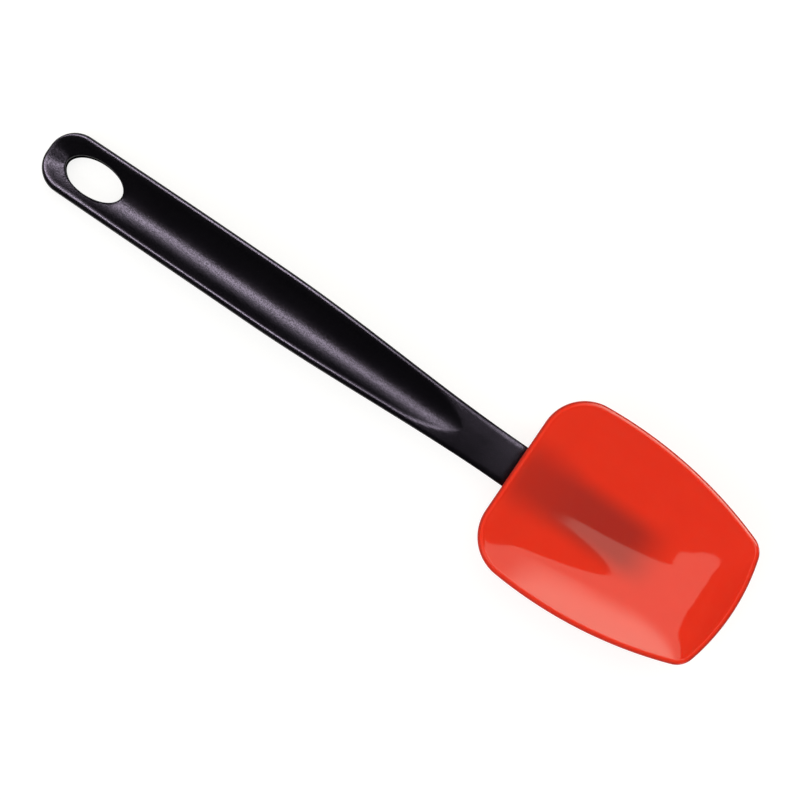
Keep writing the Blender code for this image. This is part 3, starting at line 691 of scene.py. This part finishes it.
def shadeHead(piece):
    # how much of the dark tang shows through, how shiny the lip is, and a painted shade on the lip's outer
    # flank
    shadow, look = tangShadow, lipLook
    shades, shines, rimShades = [], [], []
    for vertex in piece.data.vertices:
        t, y, z = vertex.co.x / mm - shoulderX, abs(vertex.co.y / mm), vertex.co.z / mm
        above = z > (tangTop(t) + tangUnder(t)) / 2.0
        narrow = ease(t, *shadow["narrowsOver"])
        across = ease(y, mix(*shadow["reach"], narrow), mix(*shadow["core"], narrow))
        along = ease(t, tangLength + shadow["pastTang"], tangLength - shadow["shortOfTang"])
        along *= ease(t, *shadow["startsOver"])
        covered = (1.0 - clamp(t / shadow["palerOver"], 0.0, 1.0)) ** shadow["palerEasing"]
        shades.append(across * along * (1.0 - shadow["paler"] * covered if above else 1.0))
        inside = edgeDistance(t, y)
        line = ease(inside, *look["lineStarts"]) * (1.0 - ease(inside, *look["lineStops"]))
        bright = mix(look["line"], look["lineAtTip"], ease(t, *look["tipOver"]))
        plain = mix(look["outside"], look["inside"], ease(inside, *look["insideFrom"]))
        lip = mix(look["atShoulder"], mix(plain, bright, line), ease(t, *look["shoulderOver"]))
        shines.append(mix(lip, 1.0, ease(inside, lipInset - look["fullShort"], lipInset + look["fullPast"])))
        # painted shade: the lip's outer flank is darkened, as if it sat in shade
        rimShades.append(1.0 - ease(inside, *look["paintedRimShade"]))
    for name, numbers in (("tangShade", shades), ("lipShine", shines), ("paintedRimShade", rimShades)):
        piece.data.attributes.new(name, "FLOAT", "POINT").data.foreach_set("value", numbers)


# Materials

def hexColour(text):   # an sRGB hex value as linear colour
    parts = [int(text[place:place + 2], 16) / 255.0 for place in (0, 2, 4)]
    return [part / 12.92 if part <= 0.04045 else ((part + 0.055) / 1.055) ** 2.4 for part in parts] + [1.0]


def addNode(tree, kind, settings=None, links=None):   # a setting is a socket's name or number, or a property
    node = tree.nodes.new(kind)
    for name, value in (settings or {}).items():
        if isinstance(name, int) or name in node.inputs:
            node.inputs[name].default_value = value
        else:
            setattr(node, name, value)
    for name, source in (links or {}).items():
        tree.links.new(source, node.inputs[name])
    return node


def newMaterial(name):
    material = bpy.data.materials.new(name)
    material.use_nodes = True
    tree = material.node_tree
    return material, tree, tree.nodes["Principled BSDF"]


def glossByAngle(tree):   # dull where a surface turns away, so that the pale table doesn't edge the outline
    away = addNode(tree, "ShaderNodeLayerWeight", {"Blend": 0.5}).outputs["Facing"]
    return addNode(tree, "ShaderNodeMapRange", {"From Min": 0.4, "From Max": 0.75,
                                                "To Min": 0.5, "To Max": 0.0},
                   {"Value": away}).outputs["Result"]


nylonLook = {   # grain and flow are sizes in millimetres; real grain is finer than the picture can show
    "black": "030304", "greyer": "070608", "roughness": 0.22, "rougher": 0.27, "ior": 1.53,
    "grain": 0.4, "grainDepth": 0.04, "sparkle": 0.6, "flow": 14.0,
}


def mouldedNylon():
    # glass-filled nylon from a spark-eroded mould: near black, its fine grain only shows where light meets it
    look = nylonLook
    material, tree, shader = newMaterial("moulded_black_nylon")
    place = addNode(tree, "ShaderNodeTexCoord").outputs["Object"]
    grain = addNode(tree, "ShaderNodeTexNoise", {"Scale": 1.0 / (look["grain"] * mm), "Detail": 3.0,
                                                 "Roughness": 0.62}, {"Vector": place})
    flow = addNode(tree, "ShaderNodeTexNoise", {"Scale": 1.0 / (look["flow"] * mm), "Detail": 2.0},
                   {"Vector": place})
    tone = addNode(tree, "ShaderNodeMix", {"data_type": "RGBA", 6: hexColour(look["black"]),
                                           7: hexColour(look["greyer"])}, {0: grain.outputs["Fac"]})
    gloss = addNode(tree, "ShaderNodeMapRange", {"From Min": 0.3, "From Max": 0.7,
                                                 "To Min": look["roughness"], "To Max": look["rougher"]},
                    {"Value": flow.outputs["Fac"]})
    bump = addNode(tree, "ShaderNodeBump", {"Strength": 1.0, "Distance": look["grainDepth"] * mm},
                   {"Height": grain.outputs["Fac"]})
    sparkle = addNode(tree, "ShaderNodeMapRange", {"From Min": 0.35, "From Max": 0.65,
                                                   "To Min": 1.0 - look["sparkle"],
                                                   "To Max": 1.0 + look["sparkle"]},
                      {"Value": grain.outputs["Fac"]})
    rubbed = addNode(tree, "ShaderNodeAttribute", {"attribute_name": "edgeShine"})
    speckled = addNode(tree, "ShaderNodeMath", {"operation": "MULTIPLY"},
                       {0: glossByAngle(tree), 1: sparkle.outputs["Result"]})
    shine = addNode(tree, "ShaderNodeMath", {"operation": "MULTIPLY"},
                    {0: speckled.outputs[0], 1: rubbed.outputs["Fac"]})
    shader.inputs["IOR"].default_value = look["ior"]
    tree.links.new(shine.outputs[0], shader.inputs["Specular IOR Level"])
    tree.links.new(tone.outputs[2], shader.inputs["Base Color"])
    tree.links.new(gloss.outputs["Result"], shader.inputs["Roughness"])
    tree.links.new(bump.outputs["Normal"], shader.inputs["Normal"])
    return material


siliconeLook = {   # cloud and texture are sizes in millimetres
    # the last colour is a painted shade for the lip's outer flank
    "red": "e23721", "deeper": "dc331f", "overTang": "a82d24", "paintedRimShade": "b83226",
    "roughness": 0.06, "rougher": 0.09, "ior": 1.6, "cloud": 9.0, "texture": 0.5, "textureDepth": 0.0025,
    "softness": 0.5, "softReach": 2.0, "softColour": (1.0, 0.12, 0.06),
}


def mouldedSilicone():
    # liquid silicone rubber from a polished mould: glossy and a little see-through, so the tang darkens it
    look = siliconeLook
    material, tree, shader = newMaterial("moulded_red_silicone")
    place = addNode(tree, "ShaderNodeTexCoord").outputs["Object"]
    cloud = addNode(tree, "ShaderNodeTexNoise", {"Scale": 1.0 / (look["cloud"] * mm), "Detail": 2.0},
                    {"Vector": place})
    fine = addNode(tree, "ShaderNodeTexNoise", {"Scale": 1.0 / (look["texture"] * mm), "Detail": 2.0},
                   {"Vector": place})
    over = addNode(tree, "ShaderNodeAttribute", {"attribute_name": "tangShade"})
    clear = addNode(tree, "ShaderNodeMix", {"data_type": "RGBA", 6: hexColour(look["red"]),
                                            7: hexColour(look["deeper"])}, {0: cloud.outputs["Fac"]})
    shaded = addNode(tree, "ShaderNodeMix", {"data_type": "RGBA", 7: hexColour(look["overTang"])},
                     {0: over.outputs["Fac"], 6: clear.outputs[2]})
    # the lip's outer flank is mixed towards a painted shade colour
    edge = addNode(tree, "ShaderNodeAttribute", {"attribute_name": "paintedRimShade"})
    seen = addNode(tree, "ShaderNodeMix", {"data_type": "RGBA", 7: hexColour(look["paintedRimShade"])},
                   {0: edge.outputs["Fac"], 6: shaded.outputs[2]})
    gloss = addNode(tree, "ShaderNodeMapRange", {"From Min": 0.3, "From Max": 0.7,
                                                 "To Min": look["roughness"], "To Max": look["rougher"]},
                    {"Value": cloud.outputs["Fac"]})
    bump = addNode(tree, "ShaderNodeBump", {"Strength": 1.0, "Distance": look["textureDepth"] * mm},
                   {"Height": fine.outputs["Fac"]})
    lip = addNode(tree, "ShaderNodeAttribute", {"attribute_name": "lipShine"})
    shine = addNode(tree, "ShaderNodeMath", {"operation": "MULTIPLY"},
                    {0: glossByAngle(tree), 1: lip.outputs["Fac"]})
    shader.inputs["IOR"].default_value = look["ior"]
    tree.links.new(shine.outputs[0], shader.inputs["Specular IOR Level"])
    shader.inputs["Subsurface Weight"].default_value = look["softness"]
    shader.inputs["Subsurface Radius"].default_value = look["softColour"]
    shader.inputs["Subsurface Scale"].default_value = look["softReach"] * mm
    tree.links.new(seen.outputs[2], shader.inputs["Base Color"])
    tree.links.new(gloss.outputs["Result"], shader.inputs["Roughness"])
    tree.links.new(bump.outputs["Normal"], shader.inputs["Normal"])
    return material


# Studio: a pale round table, a large softbox for the bowl, two strips for the handle, and fills that
# leave no reflection

studio = {
    "tableRadius": 3.8, "curveRadius": 0.03, "tableSteps": 96, "curveSteps": 12,
    "table": "e8e6e3", "plainShare": 0.24, "glow": 0.81, "fibre": 2.5, "fibreDepth": 0.05,
    "boxMiddle": (0.100, 0.766, 0.951), "boxFacing": (0.076, -0.612, -0.787),
    "boxAlong": (0.440, 0.729, -0.524), "boxWidth": 1.446, "boxFrom": -4.6, "boxTo": 1.2, "boxTaper": 1.3,
    "boxLevel": 1.12, "boxColour": "fff9e6", "boxBrighter": 2.6, "brighterFrom": 0.15, "brighterTo": 0.6,
    "strips": {   # height, distance aside, width and level
        "strip_light": (0.98, 0.46, 0.36, 7.5), "low_strip_light": (0.80, 0.70, 0.35, 1.1)},
    "stripLength": 1.7, "stripColour": "f4e4ff",
    "fillHeight": 2.2, "fillSize": 4.0, "fillLevel": 0.57, "surround": 0.02,
    "sideFillPlace": (-0.45, -1.4, 0.8), "sideFillSize": 2.0, "sideFillLevel": 1.95,
    "aim": (0.0070, -0.00344, 0.012), "distance": 0.7, "tilt": 4.0, "roll": 34.46, "frameWidth": 0.262,
}


def paleTable():
    # matt painted board: camera, reflections and anything clear see it white, and it still takes a shadow
    material, tree, shader = newMaterial("matt_white_board")
    place = addNode(tree, "ShaderNodeTexCoord").outputs["Object"]
    fibre = addNode(tree, "ShaderNodeTexNoise", {"Scale": 1.0 / (studio["fibre"] * mm), "Detail": 3.0},
                    {"Vector": place})
    bump = addNode(tree, "ShaderNodeBump", {"Strength": 0.2, "Distance": studio["fibreDepth"] * mm},
                   {"Height": fibre.outputs["Fac"]})
    shader.inputs["Base Color"].default_value = hexColour(studio["table"])
    shader.inputs["Roughness"].default_value = 0.9
    shader.inputs["Specular IOR Level"].default_value = 0.1
    tree.links.new(bump.outputs["Normal"], shader.inputs["Normal"])
    plain = addNode(tree, "ShaderNodeBsdfDiffuse", {"Color": [studio["plainShare"]] * 3 + [1.0]})
    glow = addNode(tree, "ShaderNodeEmission", {"Strength": studio["glow"]})
    shown = addNode(tree, "ShaderNodeAddShader", {}, {0: plain.outputs[0], 1: glow.outputs[0]})
    rays = addNode(tree, "ShaderNodeLightPath")
    seen = addNode(tree, "ShaderNodeMath", {"operation": "ADD"},
                   {0: rays.outputs["Is Camera Ray"], 1: rays.outputs["Is Glossy Ray"]})
    either = addNode(tree, "ShaderNodeMath", {"operation": "ADD", "use_clamp": True},
                     {0: seen.outputs[0], 1: rays.outputs["Is Transmission Ray"]})
    both = addNode(tree, "ShaderNodeMixShader", {},
                   {0: either.outputs[0], 1: shader.outputs[0], 2: shown.outputs[0]})
    tree.links.new(both.outputs[0], tree.nodes["Material Output"].inputs["Surface"])
    return material


def makeTable():   # a round table top, its edge extruded outwards and up in a quarter turn
    pickOnly()
    bpy.ops.mesh.primitive_circle_add(vertices=studio["tableSteps"], radius=studio["tableRadius"],
                                      fill_type="NGON")
    table = bpy.context.object
    table.name = "table_and_backdrop"
    bpy.ops.object.mode_set(mode="EDIT")
    bpy.ops.mesh.select_all(action="SELECT")
    bpy.ops.mesh.region_to_loop()
    radius, height = studio["tableRadius"], 0.0
    for angle in spread(0.0, math.pi / 2.0, studio["curveSteps"])[1:]:
        out = studio["tableRadius"] + studio["curveRadius"] * math.sin(angle)
        up = studio["curveRadius"] * (1.0 - math.cos(angle))
        bpy.ops.mesh.extrude_region_move(TRANSFORM_OT_translate={"value": (0.0, 0.0, up - height)})
        bpy.ops.transform.resize(value=(out / radius, out / radius, 1.0), center_override=(0.0, 0.0, 0.0))
        radius, height = out, up
    bpy.ops.object.mode_set(mode="OBJECT")
    smoothShade(table, 30.0)
    table.data.materials.append(paleTable())
    return table


def areaLamp(name, centre, facing, along, width, length, level, colour):   # level 1 looks white
    lamp = bpy.data.lights.new(name, "AREA")
    lamp.shape = "RECTANGLE"
    lamp.size, lamp.size_y = width, length
    lamp.energy = level * math.pi * width * length
    lamp.color = hexColour(colour)[:3]
    holder = bpy.data.objects.new(name, lamp)
    bpy.context.collection.objects.link(holder)
    up = -Vector(facing).normalized()
    across = Vector(along).cross(up).normalized()
    turned = Matrix((across, up.cross(across), up)).transposed().to_4x4()
    holder.matrix_world = Matrix.Translation(Vector(centre)) @ turned
    holder.visible_camera = False
    return holder


def lightOnly(holder, pieces):
    group = bpy.data.collections.new("lit_by_" + holder.name)
    for piece in pieces:
        group.objects.link(piece)
    holder.light_linking.receiver_collection = group


def shapeSoftbox(holder):   # it burns brighter towards its lower end, and its far end is rounded off
    lamp = holder.data
    lamp.use_nodes = True
    tree = lamp.node_tree
    length = studio["boxTo"] - studio["boxFrom"]
    spot = addNode(tree, "ShaderNodeNewGeometry").outputs["Parametric"]
    place = addNode(tree, "ShaderNodeSeparateXYZ", {}, {0: spot})
    rise = addNode(tree, "ShaderNodeMapRange", {
        "interpolation_type": "SMOOTHSTEP", "From Min": (studio["brighterFrom"] - studio["boxFrom"]) / length,
        "From Max": (studio["brighterTo"] - studio["boxFrom"]) / length,
        "To Min": 1.0, "To Max": studio["boxBrighter"]}, {"Value": place.outputs["Y"]})
    aside = addNode(tree, "ShaderNodeMath", {"operation": "SUBTRACT", 1: 0.5}, {0: place.outputs["X"]})
    square = addNode(tree, "ShaderNodeMath", {"operation": "MULTIPLY"},
                     {0: aside.outputs[0], 1: aside.outputs[0]})
    cut = addNode(tree, "ShaderNodeMath", {"operation": "MULTIPLY", 1: 4.0 * studio["boxTaper"] / length},
                  {0: square.outputs[0]})
    inside = addNode(tree, "ShaderNodeMath", {"operation": "GREATER_THAN"},
                     {0: place.outputs["Y"], 1: cut.outputs[0]})
    level = addNode(tree, "ShaderNodeMath", {"operation": "MULTIPLY"},
                    {0: rise.outputs["Result"], 1: inside.outputs[0]})
    tree.links.new(level.outputs[0], tree.nodes["Emission"].inputs["Strength"])


def lightStudio(handle, head, table):
    along = Vector(studio["boxAlong"])
    centre = Vector(studio["boxMiddle"]) + along * (studio["boxTo"] + studio["boxFrom"]) / 2.0
    box = areaLamp("softbox", centre, studio["boxFacing"], along, studio["boxWidth"],
                   studio["boxTo"] - studio["boxFrom"], studio["boxLevel"], studio["boxColour"])
    shapeSoftbox(box)
    lightOnly(box, (head, table))
    for name, (height, aside, width, level) in studio["strips"].items():
        strip = areaLamp(name, (0.0, aside, height), (0.0, -aside, -height), (1.0, 0.0, 0.0),
                         width, studio["stripLength"], level, studio["stripColour"])
        lightOnly(strip, (handle,))
    fill = areaLamp("overhead_fill", (0.0, 0.0, studio["fillHeight"]), (0.0, 0.0, -1.0), (0.0, 1.0, 0.0),
                    studio["fillSize"], studio["fillSize"], studio["fillLevel"], "ffffff")
    place = Vector(studio["sideFillPlace"])
    sideFill = areaLamp("side_fill", place, -place, (1.0, 0.0, 0.0), studio["sideFillSize"],
                        studio["sideFillSize"], studio["sideFillLevel"], "ffffff")
    for holder in (fill, sideFill):
        holder.visible_glossy = False


def surroundStudio():   # a dim room that the camera sees white, as the photo's cut-out ground
    world = bpy.data.worlds.new("studio_surround")
    world.use_nodes = True
    tree = world.node_tree
    dim = tree.nodes["Background"]
    dim.inputs["Color"].default_value = [studio["surround"]] * 3 + [1.0]
    white = addNode(tree, "ShaderNodeBackground", {"Color": (1.0, 1.0, 1.0, 1.0)})
    rays = addNode(tree, "ShaderNodeLightPath")
    either = addNode(tree, "ShaderNodeMixShader", {},
                     {0: rays.outputs["Is Camera Ray"], 1: dim.outputs[0], 2: white.outputs[0]})
    tree.links.new(either.outputs[0], tree.nodes["World Output"].inputs["Surface"])
    bpy.context.scene.world = world
    bpy.context.scene.view_settings.view_transform = "Standard"


def aimCamera():   # almost straight down, turned so that the spoon crosses the frame at a slant
    lens = bpy.data.cameras.new("camera")
    lens.sensor_width = 36.0
    lens.lens = lens.sensor_width * studio["distance"] / studio["frameWidth"]
    camera = bpy.data.objects.new("camera", lens)
    bpy.context.collection.objects.link(camera)
    turned = Matrix.Rotation(math.radians(studio["tilt"]), 4, "X") @ Matrix.Rotation(
        math.radians(studio["roll"]), 4, "Z")
    camera.matrix_world = Matrix.Translation(
        Vector(studio["aim"]) + turned @ Vector((0.0, 0.0, studio["distance"]))) @ turned
    bpy.context.scene.camera = camera


print("shapes: handle")
handlePiece = makeHandle()
handlePiece.data.materials.append(mouldedNylon())
print("shapes: head")
headPiece = makeHead()
shadeHead(headPiece)
headPiece.data.materials.append(mouldedSilicone())
for piece, node in ((handlePiece, "handle"), (headPiece, "head")):
    piece.data.attributes.remove(piece.data.attributes["ringSlot"])
    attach(piece, "root")
    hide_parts(node)
    print(piece.name, len(piece.data.polygons), "faces")

print("studio: table, lamps and camera")
lightStudio(handlePiece, headPiece, makeTable())
surroundStudio()
aimCamera()
